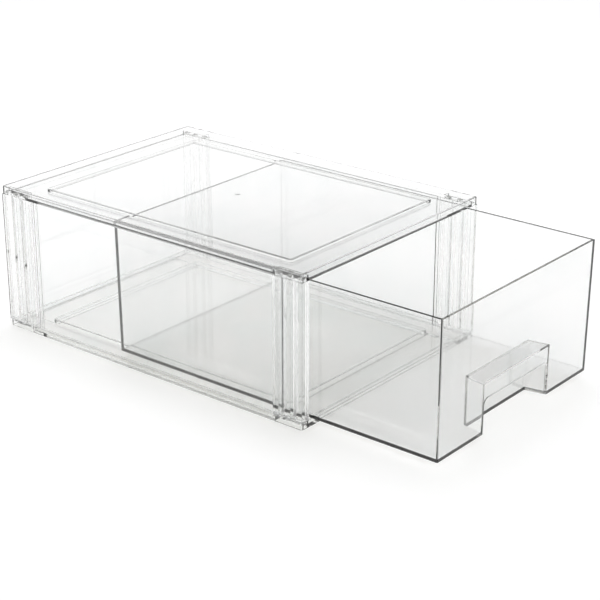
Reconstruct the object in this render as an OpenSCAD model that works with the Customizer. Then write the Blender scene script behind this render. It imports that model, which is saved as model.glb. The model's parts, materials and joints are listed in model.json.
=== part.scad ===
// Clear stacking desk organizer: a casing of five moulded panels round one deep drawer.
// The front faces -Y, the width runs along X, and the casing stands on z = 0.

/* [Casing] */
// Width of the casing over the panels' rims
case_w = 240; // [200:1:320]
// Depth of the casing from front to back
case_d = 340; // [260:1:420]
// Height of the casing
case_h = 132; // [100:1:200]

/* [Top and base panels] */
// Height of the base panel, at its rim and at its raised middle
base_h = 6.3; // [5:0.1:10]
// Thickness of the base panel's plate
base_t = 3; // [2:0.1:4]
// Height of the top panel at its rim
lid_h = 7; // [5.5:0.1:12]
// Thickness of the top panel's plate
lid_t = 2; // [1.6:0.1:4]
// How far the top panel's middle stands up from its border
lid_rise = 2.5; // [1:0.1:4]
// Thickness of the rim that runs round both panels
rim_t = 2.2; // [1.6:0.1:4]
// Radius of the upright corners
corner_r = 3; // [2:0.5:6]
// Width of the flat border at the left and right
border_x = 24.5; // [18:0.5:40]
// Width of the flat border at the front and back
border_y = 31; // [20:0.5:50]
// Thickness of the upright step between border and middle
step_t = 2.4; // [1.6:0.1:4]
// Radius of the corners of the middle
middle_r = 2.5; // [1:0.5:8]
// Diameter of the round marks that the moulding gates leave on the panels
gate_d = 4.8; // [2:0.2:8]
// Height of the gate marks
gate_h = 0.4; // [0.2:0.1:1]

/* [Side panels] */
// Thickness of the side wall
wall_t = 2; // [1.4:0.1:4]
// How far the ribs stand out from the wall
rib_out = 7; // [5:0.5:12]
// Width of one rib
rib_w = 6; // [4:0.5:9]
// Width of the groove between two ribs
rib_gap = 6; // [3:0.5:10]
// Number of ribs at each end
rib_count = 3; // [2:1:4]
// Radius of the ribs' outer edges
rib_r = 0.8; // [0.3:0.1:1.5]
// Diameter of the pegs on the ribs' ends
peg_d = 2.4; // [1.6:0.1:4]
// Length of the pegs
peg_l = 2.4; // [1.5:0.1:4]
// Gap round a peg in its socket
peg_clear = 0.1; // [0.05:0.05:0.3]
// Gap past the end of a peg
peg_end_clear = 0.3; // [0.2:0.1:1]
// Diameter of the round marks in the grooves between the ribs
pin_d = 2.4; // [1:0.1:4]

/* [Back panel] */
// Thickness of the back panel
back_t = 2.2; // [1.6:0.1:4]
// Depth of the grooves that hold it
groove_in = 2.2; // [1:0.1:3]
// Gap between the back panel and what holds it
back_clear = 0.2; // [0.1:0.05:0.5]

/* [Drawer] */
// How far the drawer stands open
open_by = 123; // [0:1:200]
// Thickness of the drawer walls
drawer_wall = 2.3; // [1.6:0.1:4]
// Thickness of the drawer floor
drawer_floor = 2.4; // [1.6:0.1:4]
// How much the drawer narrows from rim to floor on each side
drawer_draft = 1; // [0.3:0.1:3]
// Radius of the drawer's upright corners
drawer_r = 3.5; // [2:0.5:10]
// Radius of the drawer's bottom edges
drawer_edge_r = 2.4; // [1:0.1:6]
// Gap at each side of the drawer
side_clear = 2; // [0.5:0.1:4]
// Gap between the base and the drawer
floor_clear = 0.3; // [0.2:0.1:1]
// Gap between the drawer and the top panel
top_clear = 1; // [0.5:0.1:4]
// How far the closed drawer sits behind the casing's front
front_inset = 1; // [0:0.5:5]
// Gap behind the closed drawer
back_gap = 1; // [0.5:0.5:10]

/* [Finger pull] */
// Width of the pull at the front
pull_w = 94; // [70:1:140]
// Height of the pull above the drawer's underside
pull_h = 45; // [30:1:70]
// Depth of the pull behind the drawer's front
pull_d = 20; // [15:0.5:35]
// How much the pull narrows towards the back on each side
pull_draft = 3.5; // [1:0.5:6]
// Height of the lip that the fingers hook behind
lip_h = 14.5; // [8:0.5:25]
// Radius of the upper corners of the opening under the lip
lip_r = 6; // [2:0.5:10]
// Thickness of the plastic round the pull
pull_t = 2; // [1.4:0.1:4]

/* [Hidden] */
$fn = 48;
clear_plastic = [0.87, 0.93, 0.95, 0.35];
cut = 1;                                   // how far a cut reaches past the face that it opens

post_len = rib_count * rib_w + (rib_count - 1) * rib_gap;
wall_out = case_w / 2 - rib_out;           // outer face of the side wall
wall_in = wall_out - wall_t;               // inner face of the side wall
lid_z = case_h - lid_h;                    // underside of the top panel
panel_h = lid_z - base_h;                  // height of the ribs between the two panels
inner_h = lid_z - base_t;                  // height of the walls that stand on the base's border
socket_depth = peg_l + peg_end_clear;
back_out = case_d / 2 - rim_t - back_clear;
back_in = back_out - back_t;

drawer_w = 2 * (wall_in - side_clear);
drawer_front = -case_d / 2 + front_inset;  // front face of the closed drawer
drawer_back = back_in - back_gap;          // rear face of the closed drawer
drawer_d = drawer_back - drawer_front;
drawer_z = base_h + floor_clear;
drawer_h = lid_z - top_clear - drawer_z;

// Outline of a plate with rounded corners, centred on the origin.
module rounded_plate(w, d, r) {
    square([w - 2 * r, d], center = true);
    square([w, d - 2 * r], center = true);
    for (x = [-1, 1], y = [-1, 1])
        translate([x * (w / 2 - r), y * (d / 2 - r)]) circle(r);
}

// Places its children at the middle of each rib of the posts, on the right side.
module at_ribs() {
    for (end = [-1, 1], i = [0 : rib_count - 1])
        translate([case_w / 2 - rib_out / 2, end * (case_d / 2 - rib_w / 2 - i * (rib_w + rib_gap)), 0])
            children();
}

// Places its children at the middle of each groove between two ribs, on the right side.
module at_grooves() {
    pitch = rib_w + rib_gap;
    for (end = [-1, 1], i = [0 : rib_count - 2])
        translate([wall_out, end * (case_d / 2 - rib_w / 2 - (i + 0.5) * pitch), 0])
            children();
}

// A rib's cross-section, rounded on its two outer edges, growing from the wall.
module rib_outline() {
    half = rib_out / 2;
    translate([-half - cut / 2, -rib_w / 2]) square([rib_out - rib_r + cut / 2, rib_w]);
    translate([-half, -rib_w / 2 + rib_r]) square([rib_out, rib_w - 2 * rib_r]);
    for (y = [-1, 1])
        translate([half - rib_r, y * (rib_w / 2 - rib_r)]) circle(rib_r);
}

// A pan-shaped moulding: a plate with a rim, a raised middle that is hollow below,
// and four corner blocks that take the pegs of the side panels.
module pan(h, plate, rise) {
    block_w = case_w / 2 - wall_in;
    mid_w = case_w - 2 * border_x;
    mid_d = case_d - 2 * border_y;
    difference() {
        linear_extrude(h) rounded_plate(case_w, case_d, corner_r);
        // channel between the rim, the raised middle and the corner blocks
        translate([0, 0, plate]) linear_extrude(h) difference() {
            rounded_plate(case_w - 2 * rim_t, case_d - 2 * rim_t, corner_r - rim_t / 2);
            rounded_plate(mid_w, mid_d, middle_r);
            for (x = [-1, 1], y = [-1, 1])
                translate([x * (case_w - block_w) / 2, y * (case_d - post_len) / 2])
                    square([block_w, post_len], center = true);
        }
        // what is left out above the middle and the corner blocks, where they are lower than the rim
        translate([0, 0, plate + rise]) linear_extrude(h)
            rounded_plate(case_w - 2 * rim_t, case_d - 2 * rim_t, corner_r - rim_t / 2);
        // hollow under the raised middle
        translate([0, 0, -cut]) linear_extrude(rise + cut)
            rounded_plate(mid_w - 2 * step_t, mid_d - 2 * step_t, middle_r / 2);
    }
}

// A socket for each peg of both side panels, from z = 0 to the sockets' depth.
module sockets() {
    for (side = [0, 1]) mirror([side, 0, 0]) at_ribs()
        cylinder(d = peg_d + 2 * peg_clear, h = socket_depth);
}

module base_panel() {
    color(clear_plastic) {
        difference() {
            pan(base_h, base_t, base_h - base_t);
            translate([0, 0, base_h - socket_depth]) sockets();
        }
        translate([0, 0, base_h - base_t - gate_h]) cylinder(d = gate_d, h = gate_h + cut);
    }
}

module top_panel() {
    color(clear_plastic) translate([0, 0, lid_z]) {
        difference() {
            pan(lid_h, lid_t, lid_rise);
            sockets();
        }
        translate([0, 0, lid_t + lid_rise - cut]) cylinder(d = gate_d, h = gate_h + cut);
    }
}

// Side panel on the +X side: thin wall, posts of ribs and the pegs on their ends.
module side_panel() {
    difference() {
        union() {
            // wall, down to the base's border between the posts and to the corner blocks at the posts
            translate([wall_in, -case_d / 2 + post_len + back_clear, base_t])
                cube([wall_t, case_d - 2 * post_len - 2 * back_clear, inner_h]);
            translate([wall_in, -case_d / 2, base_h]) cube([wall_t, case_d, panel_h]);
            at_ribs() translate([0, 0, base_h]) linear_extrude(panel_h) rib_outline();
            at_ribs() translate([0, 0, base_h - peg_l]) cylinder(d = peg_d, h = panel_h + 2 * peg_l);
            at_grooves() translate([-wall_t / 2, 0, case_h / 2]) rotate([0, 90, 0])
                cylinder(d = pin_d, h = wall_t / 2 + gate_h);
        }
        // groove for the back panel
        translate([wall_in - cut, back_in - back_clear, 0])
            cube([groove_in + back_clear + cut, back_t + 2 * back_clear, case_h]);
    }
}

module right_side_panel() {
    color(clear_plastic) side_panel();
}

module left_side_panel() {
    color(clear_plastic) mirror([1, 0, 0]) side_panel();
}

// Back panel: its sides stand in the side panels' grooves, and its corners clear the corner blocks.
module back_panel() {
    narrow = 2 * (wall_in - back_clear);
    wide = 2 * (wall_in + groove_in);
    color(clear_plastic) translate([0, back_in, 0]) {
        translate([-narrow / 2, 0, base_t]) cube([narrow, back_t, inner_h]);
        translate([-wide / 2, 0, base_h]) cube([wide, back_t, panel_h]);
    }
}

// A box that widens by draft on each side towards its top, with rounded corners and bottom edges.
module drafted_box(w, d, h, draft, r, edge_r) {
    hull() {
        for (x = [-1, 1], y = [-1, 1]) {
            translate([x * (w / 2 - draft - r), y * (d / 2 - draft - r), edge_r])
                rotate_extrude($fn = 32) {
                    translate([r - edge_r, 0]) intersection() {
                        circle(edge_r, $fn = 32);
                        translate([0, -edge_r]) square(edge_r);
                    }
                    translate([0, -edge_r]) square([r - edge_r, edge_r]);
                }
            translate([x * (w / 2 - r), y * (d / 2 - r), h - 0.01])
                cylinder(r = r, h = 0.01, $fn = 32);
        }
    }
}

// The block that the finger pull takes out of the drawer, from its front face backwards.
// It starts at y = front, grows by t on its closed sides, and its edges are rounded by r.
module pull_block(front, t, r) {
    front_x = pull_w / 2 + t - r;
    back_x = front_x - pull_draft;
    top = pull_h - pull_t + t - r;
    hull() for (side = [-1, 1]) {
        translate([side * front_x, front, top]) rotate([-90, 0, 0]) cylinder(r = r, h = 0.01, $fn = 24);
        translate([side * front_x - r, front, -cut]) cube([2 * r, 0.01, top + cut]);
        translate([side * back_x, pull_d + t - r, top]) sphere(r, $fn = 24);
        translate([side * back_x, pull_d + t - r, -cut]) cylinder(r = r, h = top + cut, $fn = 24);
    }
}

// The opening in the drawer's front under the lip.
module finger_opening() {
    open_h = pull_h - lip_h;
    lip_back = drawer_draft + drawer_wall;
    translate([0, lip_back, 0]) rotate([90, 0, 0]) linear_extrude(lip_back + cut) {
        translate([-pull_w / 2, -cut]) square([pull_w, open_h - lip_r + cut]);
        translate([-pull_w / 2 + lip_r, 0]) square([pull_w - 2 * lip_r, open_h]);
        for (side = [-1, 1])
            translate([side * (pull_w / 2 - lip_r), open_h - lip_r]) circle(lip_r);
    }
}

// The drawer's outside as one solid block.
module drawer_block() {
    drafted_box(drawer_w, drawer_d, drawer_h, drawer_draft, drawer_r, drawer_edge_r);
}

// The space for the drawer's contents, before the finger pull takes its share.
module drawer_inside() {
    r = drawer_r - drawer_wall / 2;
    translate([0, 0, drawer_floor])
        drafted_box(drawer_w - 2 * drawer_wall, drawer_d - 2 * drawer_wall,
                    drawer_h - drawer_floor + cut, drawer_draft, r, r);
}

module drawer() {
    round = 2.5;                           // radius of the pull's edges inside the drawer
    color(clear_plastic) translate([0, (drawer_front + drawer_back) / 2 - open_by, drawer_z])
    difference() {
        union() {
            difference() {
                drawer_block();
                drawer_inside();
            }
            intersection() {
                drawer_block();
                translate([0, -drawer_d / 2, 0]) pull_block(0, pull_t, round);
            }
        }
        translate([0, -drawer_d / 2, 0]) {
            pull_block(drawer_draft + drawer_wall, 0, round - pull_t);
            finger_opening();
        }
    }
}

top_panel();
base_panel();
left_side_panel();
right_side_panel();
back_panel();
drawer();
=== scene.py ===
import bpy, bmesh, json, math
from mathutils import Matrix, Vector

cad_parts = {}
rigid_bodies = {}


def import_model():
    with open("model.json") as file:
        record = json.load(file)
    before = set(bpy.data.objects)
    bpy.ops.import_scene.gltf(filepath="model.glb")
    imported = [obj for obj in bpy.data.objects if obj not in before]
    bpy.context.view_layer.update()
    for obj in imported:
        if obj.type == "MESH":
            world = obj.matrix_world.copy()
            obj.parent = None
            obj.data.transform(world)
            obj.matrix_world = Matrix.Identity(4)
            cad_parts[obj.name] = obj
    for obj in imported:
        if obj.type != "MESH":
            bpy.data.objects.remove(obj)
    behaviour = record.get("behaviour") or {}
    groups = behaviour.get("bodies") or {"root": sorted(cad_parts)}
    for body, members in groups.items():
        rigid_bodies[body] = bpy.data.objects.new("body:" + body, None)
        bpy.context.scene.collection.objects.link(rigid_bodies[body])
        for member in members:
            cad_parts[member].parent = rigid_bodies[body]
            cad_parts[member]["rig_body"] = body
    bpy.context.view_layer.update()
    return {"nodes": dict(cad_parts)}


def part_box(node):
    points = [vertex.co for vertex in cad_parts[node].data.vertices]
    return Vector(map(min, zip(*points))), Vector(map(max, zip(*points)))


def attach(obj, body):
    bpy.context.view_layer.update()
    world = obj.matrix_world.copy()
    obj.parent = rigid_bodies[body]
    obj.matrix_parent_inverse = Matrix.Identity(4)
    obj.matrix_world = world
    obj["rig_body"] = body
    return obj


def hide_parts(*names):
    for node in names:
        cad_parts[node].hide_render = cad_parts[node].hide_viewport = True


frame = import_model()
scene = bpy.context.scene
scene.view_settings.view_transform = "Standard"

# Light crosses up to twenty clear walls here, so it may turn more often than usual.
lightPaths = {"max_bounces": 40, "transmission_bounces": 40, "glossy_bounces": 24,
              "transparent_max_bounces": 48}
for setting, value in lightPaths.items():
    setattr(scene.cycles, setting, value)
print("frame loaded:", len(frame["nodes"]), "CAD nodes")

# The camera looks at the front left corner from above.
view = {"from": (-1.0377, -0.9163, 0.5956), "towards": (-0.048, -0.10928, 0.0732),
        "lens": 100.525, "sensor": 36}
cameraData = bpy.data.cameras.new("camera")
cameraData.sensor_width = view["sensor"]
cameraData.lens = view["lens"]
camera = bpy.data.objects.new("camera", cameraData)
scene.collection.objects.link(camera)
camera.location = view["from"]
camera.rotation_euler = (Vector(view["towards"]) - camera.location).to_track_quat("-Z", "Y").to_euler()
scene.camera = camera

# Mesh work is in millimetres and degrees until a piece is finished.
making = {"reach": 1,        # how far a tool sticks out of what it cuts or joins
          "weld": 0.004,     # points closer than this are one point
          "flat": 0.4,       # faces that turn less than this are one face
          "edge": 35,        # an outward edge this sharp is rounded
          "smooth": 32,      # an edge this sharp stays sharp in the shading
          "level": 0.05,     # heights and distances closer than this are the same
          "steps": 6}        # steps in a quarter turn, where nothing else is said
reach = making["reach"]
quarterTurn = [math.radians(90 * k / making["steps"]) for k in range(making["steps"] + 1)]


def boxInMm(node):
    low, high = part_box(node)
    return low * 1000, high * 1000


def roundedPath(corners, steps=making["steps"]):
    # corners are (x, y, radius) in order, and a rounded one gives steps + 1 points
    path = []
    for i, (x, y, radius) in enumerate(corners):
        here = Vector((x, y))
        toBefore = (Vector(corners[i - 1][:2]) - here).normalized()
        toAfter = (Vector(corners[(i + 1) % len(corners)][:2]) - here).normalized()
        if radius <= 0:
            path.append(here)
            continue
        half = toBefore.angle(toAfter) / 2
        centre = here + (toBefore + toAfter).normalized() * radius / math.sin(half)
        first = here + toBefore * radius / math.tan(half) - centre
        last = here + toAfter * radius / math.tan(half) - centre
        turn = first.angle_signed(last)
        for k in range(steps + 1):
            a = -turn * k / steps
            path.append(centre + Vector((first.x * math.cos(a) - first.y * math.sin(a),
                                         first.x * math.sin(a) + first.y * math.cos(a))))
    return path


def rectangle(width, depth, radius, steps=making["steps"], middle=(0, 0)):
    x, y = width / 2, depth / 2
    signs = ((-1, -1), (1, -1), (1, 1), (-1, 1))
    return roundedPath([(middle[0] + sx * x, middle[1] + sy * y, radius) for sx, sy in signs], steps)


def circle(radius, middle=(0, 0), points=24):
    turn = 2 * math.pi / points
    return [Vector((middle[0] + radius * math.cos(k * turn), middle[1] + radius * math.sin(k * turn)))
            for k in range(points)]


def loft(name, rings):
    # rings are (path, z) from the bottom up, all with the same number of points
    bm = bmesh.new()
    rows = [[bm.verts.new((p.x, p.y, z)) for p in path] for path, z in rings]
    for low, high in zip(rows, rows[1:]):
        for i in range(len(low)):
            j = (i + 1) % len(low)
            bm.faces.new((low[i], low[j], high[j], high[i]))
    bm.faces.new(list(reversed(rows[0])))
    bm.faces.new(rows[-1])
    bmesh.ops.recalc_face_normals(bm, faces=bm.faces)
    mesh = bpy.data.meshes.new(name)
    bm.to_mesh(mesh)
    bm.free()
    piece = bpy.data.objects.new(name, mesh)
    scene.collection.objects.link(piece)
    return piece


def prism(name, path, low, high):
    return loft(name, [(path, low), (path, high)])


def bar(name, low, high, radius=0, steps=3):
    size = Vector(high) - Vector(low)
    middle = (Vector(high) + Vector(low)) / 2
    return prism(name, rectangle(size.x, size.y, radius, steps, middle), low[2], high[2])


def combine(target, tool, operation):
    # adds a solid to another one or takes it away, and clears the tool
    step = target.modifiers.new("combine", "BOOLEAN")
    step.operation = operation
    step.solver = "EXACT"
    step.object = tool
    bpy.context.view_layer.update()
    result = target.evaluated_get(bpy.context.evaluated_depsgraph_get())
    mesh = bpy.data.meshes.new_from_object(result)
    target.modifiers.clear()
    target.data = mesh
    bpy.data.objects.remove(tool)


def roundEdges(piece, radius, segments=3, keep=None):
    # rounds the outward edges; keep(a, b) chooses which of them by their end points
    bm = bmesh.new()
    bm.from_mesh(piece.data)
    bmesh.ops.remove_doubles(bm, verts=bm.verts, dist=making["weld"])
    bmesh.ops.dissolve_limit(bm, angle_limit=math.radians(making["flat"]), verts=bm.verts, edges=bm.edges)
    edges = []
    for edge in bm.edges:
        if len(edge.link_faces) != 2 or edge.calc_face_angle_signed(0) < math.radians(making["edge"]):
            continue
        a, b = (v.co for v in edge.verts)
        if keep is None or keep(a, b):
            edges.append(edge)
    if edges:
        bmesh.ops.bevel(bm, geom=edges, offset=radius, segments=segments, profile=0.5,
                        affect="EDGES", clamp_overlap=True)
    bm.to_mesh(piece.data)
    bm.free()


def mirrored(piece, name):
    mesh = piece.data.copy()
    mesh.transform(Matrix.Diagonal((-1, 1, 1, 1)))
    mesh.flip_normals()
    copy = bpy.data.objects.new(name, mesh)
    scene.collection.objects.link(copy)
    return copy


def finishPiece(piece, node, material):
    # turns millimetres into metres, smooths the roundings and puts the piece in its CAD node's place
    mesh = piece.data
    bm = bmesh.new()
    bm.from_mesh(mesh)
    bmesh.ops.remove_doubles(bm, verts=bm.verts, dist=making["weld"])
    openEdges = sum(len(e.link_faces) != 2 for e in bm.edges)
    for face in bm.faces:
        face.smooth = True
    bm.to_mesh(mesh)
    bm.free()
    mesh.transform(Matrix.Scale(0.001, 4))
    mesh.set_sharp_from_angle(angle=math.radians(making["smooth"]))
    mesh.materials.clear()
    mesh.materials.append(material)
    normals = piece.modifiers.new("even normals", "WEIGHTED_NORMAL")
    normals.keep_sharp = True
    normals.weight = 100      # flat faces stay flat beside a rounding
    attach(piece, frame["nodes"][node]["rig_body"])
    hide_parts(node)
    print(piece.name, "finished:", len(mesh.polygons), "faces, open edges:", openEdges)


def hexToLinear(code):
    out = []
    for i in (0, 2, 4):
        c = int(code[i:i + 2], 16) / 255
        out.append(c / 12.92 if c <= 0.04045 else ((c + 0.055) / 1.055) ** 2.4)
    return (*out, 1)


def newTree(data):
    data.use_nodes = True
    data.node_tree.nodes.clear()
    return data.node_tree


def addNode(tree, kind, settings=None, links=None):
    node = tree.nodes.new(kind)
    for key, value in (settings or {}).items():
        if isinstance(key, int) or key in node.inputs:
            node.inputs[key].default_value = value
        else:
            setattr(node, key, value)
    for key, socket in (links or {}).items():
        tree.links.new(socket, node.inputs[key])
    return node


# Sizes of the pattern are in mm, density is per metre. The drawer is a separate shot of the same
# plastic, a little denser in colour than the casing.
casingLook = {"ior": 1.59, "roughness": 0.015, "tint": "fefefe",
              "hazeMm": 45, "hazeFrom": 0.4, "hazeTo": 0.7, "hazeRoughness": 0.05, "hazeTint": "fcfdfd",
              "flowMm": 60, "flowHeight": 0.4, "flowStrength": 0.15,
              "bodyColour": "f0f0ef", "density": 25, "shadowTint": "f7f7f6"}
drawerLook = dict(casingLook, tint="fdfdfd", hazeTint="fbfcfc", density=55)


def clearPolystyrene(name, look):
    # Crystal polystyrene, injection moulded in a polished mould: water-clear through a wall and grey
    # along it, mirror-smooth with a slight bloom in patches, and its flat faces wave a little where
    # the melt flowed.
    material = bpy.data.materials.new(name)
    tree = newTree(material)
    place = addNode(tree, "ShaderNodeTexCoord")
    flow = addNode(tree, "ShaderNodeTexNoise", {"Scale": 1000 / look["flowMm"], "Detail": 1.0},
                   {"Vector": place.outputs["Object"]})
    bump = addNode(tree, "ShaderNodeBump", {"Strength": look["flowStrength"],
                                            "Distance": look["flowHeight"] / 1000},
                   {"Height": flow.outputs["Fac"]})
    haze = addNode(tree, "ShaderNodeTexNoise", {"Scale": 1000 / look["hazeMm"], "Detail": 3.0},
                   {"Vector": place.outputs["Object"]})
    cloud = addNode(tree, "ShaderNodeMapRange", {"From Min": look["hazeFrom"], "From Max": look["hazeTo"]},
                    {"Value": haze.outputs["Fac"]})
    rough = addNode(tree, "ShaderNodeMapRange",
                    {"To Min": look["roughness"], "To Max": look["hazeRoughness"]},
                    {"Value": cloud.outputs["Result"]})
    # inputs 6 and 7 and output 2 are the colours of a mix node
    tint = addNode(tree, "ShaderNodeMix", {"data_type": "RGBA", 6: hexToLinear(look["tint"]),
                                           7: hexToLinear(look["hazeTint"])}, {0: cloud.outputs["Result"]})
    surface = addNode(tree, "ShaderNodeBsdfPrincipled", {"IOR": look["ior"], "Transmission Weight": 1.0},
                      {"Normal": bump.outputs["Normal"], "Roughness": rough.outputs["Result"],
                       "Base Color": tint.outputs[2]})
    # lamps shine straight through, so the shadow on the floor is the pale one of clear plastic
    lampsPass = addNode(tree, "ShaderNodeBsdfTransparent", {"Color": hexToLinear(look["shadowTint"])})
    rays = addNode(tree, "ShaderNodeLightPath")
    both = addNode(tree, "ShaderNodeMixShader", {}, {0: rays.outputs["Is Shadow Ray"], 1: surface.outputs[0],
                                                     2: lampsPass.outputs[0]})
    body = addNode(tree, "ShaderNodeVolumeAbsorption", {"Color": hexToLinear(look["bodyColour"]),
                                                        "Density": look["density"]})
    addNode(tree, "ShaderNodeOutputMaterial", {}, {"Surface": both.outputs[0], "Volume": body.outputs[0]})
    return material


casingPlastic = clearPolystyrene("moulded_clear_polystyrene", casingLook)
drawerPlastic = clearPolystyrene("moulded_clear_drawer_polystyrene", drawerLook)
print("plastics made")

# Side panels: a thin wall, and a post of three ribs at each end. fluteFrom is how far the outside and
# the inside flute are from the post, and pegFrom how far the outer pegs are from the post's two ends.
side = {"wall": 2, "wallRound": 0.3, "endRound": 0.25, "air": 0.06,
        "ribs": 3, "ribOut": 7, "ribWidth": 6, "ribGap": 6, "ribRound": 0.3, "grooveRound": 0.5,
        "footGap": 0.3, "backGroove": 2.6, "backGrooveDeep": 2.4,
        "fluteWide": 2.4, "fluteDeep": 1.1, "fluteFrom": (2.2, 4.8),
        "pinWide": 2.4, "pinHigh": 0.1, "pinSlope": 0.45, "pinSunk": 0.05,
        "pegWide": 4.2, "pegRound": 0.9, "pegLong": 2.4, "pegIn": 5, "pegFrom": (3.4, 4.4)}
sideLow, sideHigh = boxInMm("right_side_panel")
topLow, topHigh = boxInMm("top_panel")
baseLow, baseHigh = boxInMm("base_panel")
backLow, backHigh = boxInMm("back_panel")
outX = sideHigh.x
wallOut = outX - side["ribOut"]
wallIn = wallOut - side["wall"]
endY = sideHigh.y
pitch = side["ribWidth"] + side["ribGap"]
postLong = side["ribs"] * side["ribWidth"] + (side["ribs"] - 1) * side["ribGap"]
ribMiddles = sorted(s * (endY - side["ribWidth"] / 2 - i * pitch)
                    for s in (-1, 1) for i in range(side["ribs"]))


def sideOutline():
    # seen from above: from the inner face's front end out round every rib, and back along the inner face
    path = [(wallIn, -endY, side["wallRound"])]
    for y in ribMiddles:
        low, high = y - side["ribWidth"] / 2, y + side["ribWidth"] / 2
        if low > -endY + side["wall"]:
            path.append((wallOut, low, side["grooveRound"]))
        path += [(outX, low, side["ribRound"]), (outX, high, side["ribRound"])]
        if high < endY - side["wall"]:
            path.append((wallOut, high, side["grooveRound"]))
    return roundedPath(path + [(wallIn, endY, side["wallRound"])], steps=4)


def isLevel(a, b):
    # true for the edges round both ends of a panel
    return abs(a.z - b.z) < making["level"]


def makeSidePanel(name):
    low, high = baseHigh.z + side["air"], topLow.z - side["air"]
    panel = prism(name, sideOutline(), low, high)
    # the wall goes down to the base's border between the posts
    foot = endY - postLong - side["footGap"]
    combine(panel, bar("foot", (wallIn, -foot, sideLow.z + side["air"]),
                       (wallOut, foot, low + reach)), "UNION")
    # groove that holds the back panel
    middle, half = (backLow.y + backHigh.y) / 2, side["backGroove"] / 2
    combine(panel, bar("groove", (wallIn - reach, middle - half, sideLow.z - reach),
                       (wallIn + side["backGrooveDeep"], middle + half, high + reach)), "DIFFERENCE")
    roundEdges(panel, side["endRound"], segments=2, keep=isLevel)
    # a shallow flute beside each post, outside and inside, where the thick post meets the thin wall
    radius = side["fluteWide"] / 2
    for x, away in ((wallOut + radius - side["fluteDeep"], side["fluteFrom"][0]),
                    (wallIn - radius + side["fluteDeep"], side["fluteFrom"][1])):
        for s in (-1, 1):
            path = circle(radius, (x, s * (endY - postLong - away)))
            combine(panel, prism("flute", path, sideLow.z - reach, high + reach), "DIFFERENCE")
    # marks of the ejector pins at mid height in the grooves
    radius, face = side["pinWide"] / 2, side["wall"] / 2
    for a, b in zip(ribMiddles, ribMiddles[1:]):
        if b - a > pitch + reach:
            continue
        pin = loft("pin", [(circle(radius), 0), (circle(radius), face - side["pinSunk"]),
                           (circle(radius - side["pinSlope"]), face + side["pinHigh"])])
        pin.data.transform(Matrix.Translation((wallOut - face, (a + b) / 2, topHigh.z / 2))
                           @ Matrix.Rotation(math.radians(90), 4, "Y"))
        combine(panel, pin, "UNION")
    # a peg on both ends of every rib; three fill most of the opening in a corner of the base or the top
    near, away = endY - postLong + side["pegFrom"][0], endY - side["pegFrom"][1]
    for y in ribMiddles:
        y = math.copysign(min(max(abs(y), near), away), y)
        path = rectangle(side["pegWide"], side["pegWide"], side["pegRound"], steps=4,
                         middle=(outX - side["pegIn"], y))
        for z0, z1 in ((low - side["pegLong"], low + reach), (high - reach, high + side["pegLong"])):
            combine(panel, prism("peg", path, z0, z1), "UNION")
    return panel


rightSide = makeSidePanel("right_side_moulding")
leftSide = mirrored(rightSide, "left_side_moulding")
finishPiece(rightSide, "right_side_panel", casingPlastic)
finishPiece(leftSide, "left_side_panel", casingPlastic)

# Base and top panels: a plate with a rim, a border and a raised middle that is hollow below.
# coreFrom is how far the hollow below the border keeps from the middle and from the rim.
pan = {"rim": 2.2, "corner": 3, "innerCorner": 2, "borderX": 24.5, "borderY": 31,
       "middleCorner": 2.5, "hollowCorner": 1.25, "skirt": 2.3, "slopeHigh": 1.6, "blockRound": 0.3,
       "cornerFrame": 1.2, "openingRound": 0.8, "gateWide": 4.8, "gateHigh": 0.4, "gateRoot": 0.5}
basePan = dict(pan, plate=3, rise=3.3, middlePlate=1.2, slope=0, round=0.4, topChamfer=0,
               coreHigh=2, coreFrom=(0.2, 1), coreRound=1.2)
topPan = dict(pan, plate=2, rise=2.5, middlePlate=1, slope=1.9, round=0.45, topChamfer=0.9, coreHigh=0)
fourCorners = [(sx, sy) for sx in (-1, 1) for sy in (-1, 1)]


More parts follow.
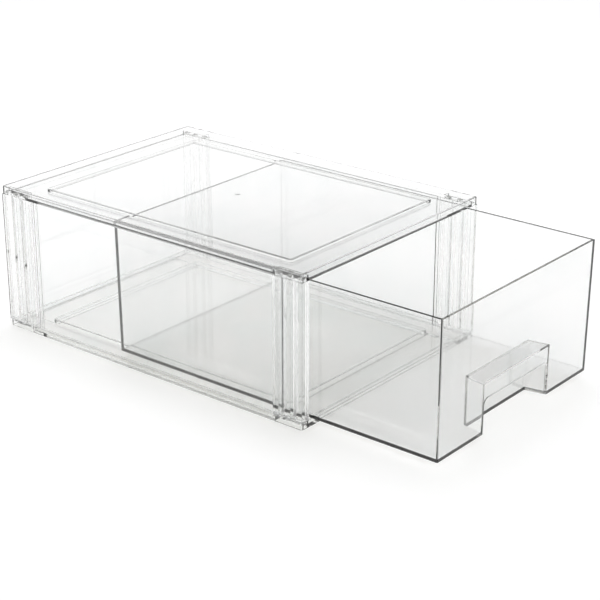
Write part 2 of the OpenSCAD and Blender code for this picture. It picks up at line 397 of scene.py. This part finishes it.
def makePan(name, low, high, pan, gateBelow):
    width, depth = high.x - low.x, high.y - low.y
    inner = (width - 2 * pan["rim"], depth - 2 * pan["rim"])
    middle = (width - 2 * pan["borderX"], depth - 2 * pan["borderY"])
    floor, upper = low.z + pan["plate"], low.z + pan["plate"] + pan["rise"]
    insideRim = rectangle(*inner, pan["innerCorner"], steps=8)
    solid = prism(name, rectangle(width, depth, pan["corner"], steps=8), low.z, high.z)
    # the border is a channel between the rim, the middle and the four corner blocks
    channel = prism("channel", insideRim, floor, high.z + 2 * reach)
    combine(channel, prism("middle", rectangle(*middle, pan["middleCorner"], steps=8), floor - reach,
                           high.z + 3 * reach), "DIFFERENCE")
    for sx, sy in fourCorners:
        xs = sorted((sx * wallIn, sx * (outX + reach)))
        ys = sorted((sy * (endY - postLong), sy * (endY + reach)))
        combine(channel, bar("block", (xs[0], ys[0], floor - reach), (xs[1], ys[1], high.z + 3 * reach),
                             pan["blockRound"]), "DIFFERENCE")
    combine(solid, channel, "DIFFERENCE")
    if upper < high.z - making["level"]:
        combine(solid, prism("above", insideRim, upper, high.z + 2 * reach), "DIFFERENCE")
    # the hollow below the middle; the slope at its foot sends a look through the rim up and away
    foot = pan["skirt"] - pan["slope"]
    rings = []
    for z, inset in ((low.z - reach, foot), (low.z, foot), (low.z + pan["slopeHigh"], pan["skirt"]),
                     (upper - pan["middlePlate"], pan["skirt"])):
        rings.append((rectangle(middle[0] - 2 * inset, middle[1] - 2 * inset, pan["hollowCorner"]), z))
    combine(solid, loft("hollow", rings), "DIFFERENCE")
    if pan["coreHigh"]:
        # the border is cored out from below at the front and at the back
        near, away = middle[1] / 2 + pan["coreFrom"][0], inner[1] / 2 - pan["coreFrom"][1]
        for ys in ((-away, -near), (near, away)):
            core = bar("core", (-middle[0] / 2, ys[0], low.z - reach),
                       (middle[0] / 2, ys[1], low.z + pan["coreHigh"]), pan["coreRound"], steps=5)
            combine(solid, core, "DIFFERENCE")

    def onTopEdge(a, b):
        # true for the outer edge of the rim's top
        for p in (a, b):
            x, y = abs(p.x) - width / 2 + pan["corner"], abs(p.y) - depth / 2 + pan["corner"]
            if p.z < high.z - making["level"]:
                return False
            if math.hypot(max(x, 0), max(y, 0)) < pan["corner"] - making["level"]:
                return False
        return True

    if pan["topChamfer"]:
        roundEdges(solid, pan["topChamfer"], segments=1, keep=onTopEdge)
    roundEdges(solid, pan["round"])
    # an opening in each corner block takes the three pegs of a post, and leaves the block as a thin frame
    wide = side["ribOut"] + side["wall"] - pan["rim"] - pan["cornerFrame"]
    long = postLong - pan["rim"] - pan["cornerFrame"]
    for sx, sy in fourCorners:
        place = (sx * (outX - pan["rim"] - wide / 2), sy * (endY - pan["rim"] - long / 2))
        path = rectangle(wide, long, pan["openingRound"], steps=4, middle=place)
        combine(solid, prism("opening", path, low.z - reach, high.z + reach), "DIFFERENCE")
    # mark of the moulding gate, which is below the base's middle and above the top's
    if gateBelow:
        gateZ = (upper - pan["middlePlate"] - pan["gateHigh"], upper - pan["gateRoot"])
    else:
        gateZ = (upper - pan["gateRoot"], upper + pan["gateHigh"])
    combine(solid, prism("gate", circle(pan["gateWide"] / 2), *gateZ), "UNION")
    return solid


base = makePan("base_moulding", baseLow, baseHigh, basePan, True)
finishPiece(base, "base_panel", casingPlastic)
top = makePan("top_moulding", topLow, topHigh, topPan, False)
finishPiece(top, "top_panel", casingPlastic)

# Back panel: a plate whose edges stand in the grooves of the side panels.
back = {"air": 0.06, "round": 0.3, "sideAir": 0.2}


def makeBackPanel(name):
    narrow = wallIn - back["sideAir"]
    low, high = backLow.z + back["air"], backHigh.z - back["air"]
    panel = bar(name, (-narrow, backLow.y, low), (narrow, backHigh.y, high))
    combine(panel, bar("tongues", (backLow.x, backLow.y, baseHigh.z + back["air"]),
                       (backHigh.x, backHigh.y, high)), "UNION")
    roundEdges(panel, back["round"], segments=2)
    return panel


backPanel = makeBackPanel("back_moulding")
finishPiece(backPanel, "back_panel", casingPlastic)

# Drawer: a drafted tub with a finger pull that is pushed in from the front, open below its lip.
drawer = {"wall": 2.3, "floor": 2.4, "draft": 1, "corner": 0.7, "edge": 0.7,
          "innerCorner": 0.45, "innerEdge": 0.45, "rimRound": 0.25, "lipHigh": 14.5, "lipRound": 6,
          "pullWide": 94, "pullHigh": 45, "pullDeep": 20, "pullDraft": 3.5, "pullWall": 2,
          "pullRound": 1.6, "pullInnerRound": 1.2, "pullSoft": 0.3}
drawerLow, drawerHigh = boxInMm("drawer")


def tubRings(width, depth, low, high, corner, edge, middle):
    # rounded bottom edge first, then one straight drafted wall up to the top
    rings = []
    for a in quarterTurn:
        inset = drawer["draft"] + edge * (1 - math.sin(a))
        path = rectangle(width - 2 * inset, depth - 2 * inset, corner, steps=8, middle=middle)
        rings.append((path, low + edge * (1 - math.cos(a))))
    rings.append((rectangle(width, depth, corner, steps=8, middle=middle), high))
    return rings


def pullRings(front, grow, edge, high):
    # a block that narrows backwards, rounded along its back and its upper edges
    half = drawer["pullWide"] / 2 + grow
    backY = drawerLow.y + drawer["pullDeep"] + grow
    slope = drawer["pullDraft"] / drawer["pullDeep"]

    def outline(inset):
        x0 = half - slope * (front - drawerLow.y) - inset
        x1 = half - slope * (backY - drawerLow.y) - inset
        y, r = backY - inset, edge - inset + drawer["pullSoft"]
        return roundedPath([(-x0, front, 0), (x0, front, 0), (x1, y, r), (-x1, y, r)])

    rings = [(outline(0), drawerLow.z - 3 * reach)]
    for a in quarterTurn:
        rings.append((outline(edge * (1 - math.cos(a))), high - edge * (1 - math.sin(a))))
    return rings


def makeDrawer(name):
    width, depth = drawerHigh.x - drawerLow.x, drawerHigh.y - drawerLow.y
    middle = (0, (drawerHigh.y + drawerLow.y) / 2)
    low, high, front = drawerLow.z, drawerHigh.z, drawerLow.y
    wall, frontWall = drawer["wall"], drawer["wall"] + drawer["draft"]
    tub = loft(name, tubRings(width, depth, low, high, drawer["corner"], drawer["edge"], middle))
    space = loft("space", tubRings(width - 2 * wall, depth - 2 * wall, low + drawer["floor"], high + reach,
                                   drawer["innerCorner"], drawer["innerEdge"], middle))
    # the pull's block is left standing inside the tub and is hollowed out from the front
    pullTop = low + drawer["pullHigh"]
    block = loft("block", pullRings(front, drawer["pullWall"], drawer["pullRound"], pullTop))
    combine(space, block, "DIFFERENCE")
    combine(tub, space, "DIFFERENCE")
    hollow = loft("hollow", pullRings(front + frontWall, 0, drawer["pullInnerRound"],
                                      pullTop - drawer["pullWall"]))
    combine(tub, hollow, "DIFFERENCE")
    # opening for the fingers under the lip, with its upper corners rounded
    half, r, openTop = drawer["pullWide"] / 2, drawer["lipRound"], pullTop - drawer["lipHigh"]
    foot = low - 3 * reach
    path = roundedPath([(-half, foot, 0), (half, foot, 0), (half, openTop, r), (-half, openTop, r)], steps=8)
    opening = prism("opening", path, -front - frontWall, -front + 3 * reach)
    opening.data.transform(Matrix.Rotation(math.radians(90), 4, "X"))
    combine(tub, opening, "DIFFERENCE")
    roundEdges(tub, drawer["rimRound"])
    return tub


drawerPiece = makeDrawer("drawer_moulding")
finishPiece(drawerPiece, "drawer", drawerPlastic)
print("all pieces made")

# White floor and world, a dark ceiling and two soft lamps, in metres and watts.
studio = {"white": "ffffff", "worldLight": 0.5,
          "floorColour": "efefef", "floorLift": 0.17, "floorRadius": 8, "floorDrop": 0.0003,
          "ceilingHigh": 1.0, "ceilingDark": 0.02, "ceilingInner": 1.35, "ceilingOuter": 2.85}
lamps = {"key": {"place": (0.6, 0.45, 2.4), "size": 1.6, "energy": 36},
         "fill": {"place": (-1.5, -1.4, 2.3), "size": 1.8, "energy": 12}}
white = hexToLinear(studio["white"])


def seenDirectly(tree):
    # 1 for rays that come from the camera, a reflection or a refraction, 0 for those that carry soft light
    rays = addNode(tree, "ShaderNodeLightPath")
    seen = addNode(tree, "ShaderNodeMath", {"operation": "MAXIMUM"},
                   {0: rays.outputs["Is Camera Ray"], 1: rays.outputs["Is Glossy Ray"]})
    return addNode(tree, "ShaderNodeMath", {"operation": "MAXIMUM"},
                   {0: seen.outputs[0], 1: rays.outputs["Is Transmission Ray"]}).outputs[0]


def disc(name, radius, height, material, points=96):
    mesh = bpy.data.meshes.new(name)
    mesh.from_pydata([(p.x, p.y, 0) for p in circle(radius, (0, 0), points)], [], [tuple(range(points))])
    mesh.materials.append(material)
    piece = bpy.data.objects.new(name, mesh)
    scene.collection.objects.link(piece)
    piece.location.z = height
    return piece


# Matt white background paper: it takes the shadow and is near white to the eye.
floorMaterial = bpy.data.materials.new("white_paper_floor")
tree = newTree(floorMaterial)
paper = addNode(tree, "ShaderNodeBsdfDiffuse", {"Color": hexToLinear(studio["floorColour"])})
lift = addNode(tree, "ShaderNodeMath", {"operation": "MULTIPLY", 1: studio["floorLift"]},
               {0: seenDirectly(tree)})
glow = addNode(tree, "ShaderNodeEmission", {"Color": white}, {"Strength": lift.outputs[0]})
both = addNode(tree, "ShaderNodeAddShader", {}, {0: paper.outputs[0], 1: glow.outputs[0]})
addNode(tree, "ShaderNodeOutputMaterial", {}, {"Surface": both.outputs[0]})
disc("floor", studio["floorRadius"], -studio["floorDrop"], floorMaterial)

# Black cloth overhead that fades into white walls: only rounded edges turn a look that far up, so it
# draws them in grey. The camera and the floor don't see it, and it casts no shadow.
clothMaterial = bpy.data.materials.new("dark_ceiling_cloth")
tree = newTree(clothMaterial)
place = addNode(tree, "ShaderNodeTexCoord")
far = addNode(tree, "ShaderNodeVectorMath", {"operation": "LENGTH"}, {0: place.outputs["Object"]})
shade = addNode(tree, "ShaderNodeMapRange",
                {"interpolation_type": "SMOOTHSTEP", "From Min": studio["ceilingInner"],
                 "From Max": studio["ceilingOuter"], "To Min": studio["ceilingDark"], "To Max": 1.0},
                {"Value": far.outputs["Value"]})
glow = addNode(tree, "ShaderNodeEmission", {"Color": white}, {"Strength": shade.outputs["Result"]})
addNode(tree, "ShaderNodeOutputMaterial", {}, {"Surface": glow.outputs[0]})
ceiling = disc("ceiling", studio["ceilingOuter"], studio["ceilingHigh"], clothMaterial)
ceiling.visible_camera = False
ceiling.visible_diffuse = False
ceiling.visible_shadow = False

world = bpy.data.worlds.new("white_studio")
scene.world = world
tree = newTree(world)
dim = addNode(tree, "ShaderNodeBackground", {"Color": white, "Strength": studio["worldLight"]})
bright = addNode(tree, "ShaderNodeBackground", {"Color": white, "Strength": 1.0})
both = addNode(tree, "ShaderNodeMixShader", {},
               {0: seenDirectly(tree), 1: dim.outputs[0], 2: bright.outputs[0]})
addNode(tree, "ShaderNodeOutputWorld", {}, {"Surface": both.outputs[0]})

for lampName, lamp in lamps.items():
    light = bpy.data.lights.new(lampName, "AREA")
    light.size = lamp["size"]
    light.energy = lamp["energy"]
    holder = bpy.data.objects.new(lampName, light)
    scene.collection.objects.link(holder)
    holder.location = lamp["place"]
    holder.rotation_euler = (-Vector(lamp["place"])).to_track_quat("-Z", "Y").to_euler()
print("studio made")
